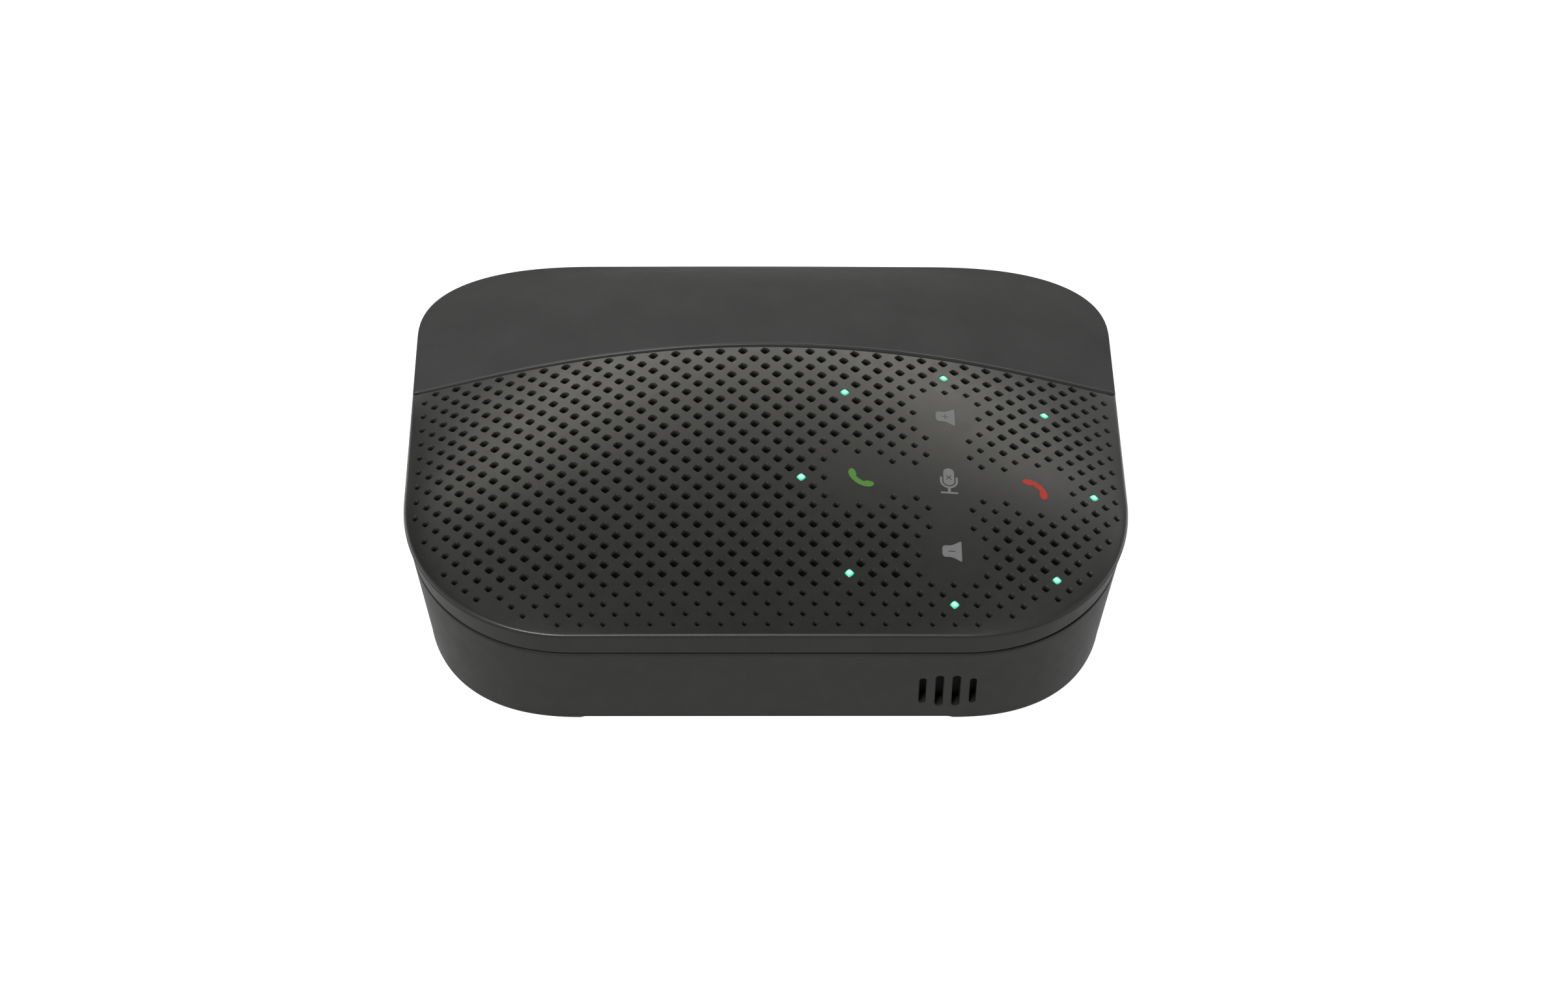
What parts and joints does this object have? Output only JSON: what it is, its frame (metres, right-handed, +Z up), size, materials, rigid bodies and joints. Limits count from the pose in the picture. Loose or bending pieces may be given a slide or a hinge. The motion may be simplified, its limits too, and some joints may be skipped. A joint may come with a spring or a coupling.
{
  "type": "conference speakerphone",
  "caption": "Table-top conference speakerphone: domed perforated top with touch keys in a ring of lights, rear lid that tilts up as a tablet stand, tapered case.",
  "frame": {"origin": "middle of the underside, on the table plane", "axes": "+Z up, the user sits on the -Y side, +X to the user's right"},
  "size_m": [0.155, 0.123, 0.0419],
  "materials": {
    "charcoal_satin": "satin moulded plastic, perforated",
    "charcoal_flap": "smooth satin plastic",
    "charcoal_case": "satin moulded plastic",
    "inner_plastic": "plain moulded plastic",
    "black_rubber": "matt rubber",
    "black_cloth": "fine acoustic mesh",
    "light_pipe": "clear light pipe, lit green",
    "circuit_board": "solder mask",
    "steel": "plated",
    "paper_cone": "coated cone",
    "battery_wrap": "heat-shrink wrap",
    "sensor_film": "polyimide film"
  },
  "bodies": {
    "housing": {"top_cover": "charcoal_satin", "lower_case": "charcoal_case", "seam_gasket": "black_rubber", "hinge_pin_left": "steel", "hinge_pin_right": "steel", "stand_tray": "inner_plastic", "slot_grip_strip": "black_rubber", "grille_cloth": "black_cloth", "touch_sensor": "sensor_film", "light_board": "circuit_board", "main_board": "circuit_board", "radio_shield": "steel", "board_ribbon": "sensor_film", "battery_pack": "battery_wrap", "battery_strap": "inner_plastic", "port_board": "circuit_board", "usb_socket": "steel", "audio_jack": "inner_plastic", "microphone_boot": "black_rubber", "microphone": "steel", "power_switch": "steel", "pairing_switch": "inner_plastic", "speaker_tub": "inner_plastic", "speaker_baffle": "inner_plastic", "woofer_basket": "steel", "woofer_magnet": "steel", "woofer_cone": "paper_cone", "woofer_surround": "black_rubber", "cable_bay": "inner_plastic", "case_screw_front": "steel", "case_screw_left": "steel", "case_screw_right": "steel", "light_pipe_1": "light_pipe", "light_pipe_2": "light_pipe", "light_pipe_3": "light_pipe", "light_pipe_4": "light_pipe", "light_pipe_5": "light_pipe", "light_pipe_6": "light_pipe", "light_pipe_7": "light_pipe", "light_pipe_8": "light_pipe"},
    "flap": {"stand_flap": "charcoal_flap"},
    "power_knob": {"power_slider": "charcoal_case"},
    "pairing_key": {"pairing_button": "charcoal_case"},
    "cable_cover": {"base_cover": "charcoal_case", "foot_ring": "black_rubber"}
  },
  "joints": [
    {"name": "lid_tilt", "type": "hinge", "parent": "housing", "child": "flap", "pos_m": [0, 0.0601, 0.0257], "axis": [-1, 0, 0], "range_deg": [0, 30]},
    {"name": "power_slide", "type": "slide", "parent": "housing", "child": "power_knob", "axis": [0, 1, 0], "range_m": [0, 0.003]},
    {"name": "pairing_press", "type": "slide", "parent": "housing", "child": "pairing_key", "axis": [-1, 0, 0], "range_m": [0, 0.0008], "stiffness_N_per_m": 400},
    {"name": "cover_twist", "type": "hinge", "parent": "housing", "child": "cable_cover", "pos_m": [0, 0, 0], "axis": [0, 0, 1], "range_deg": [0, 25]}
  ]
}
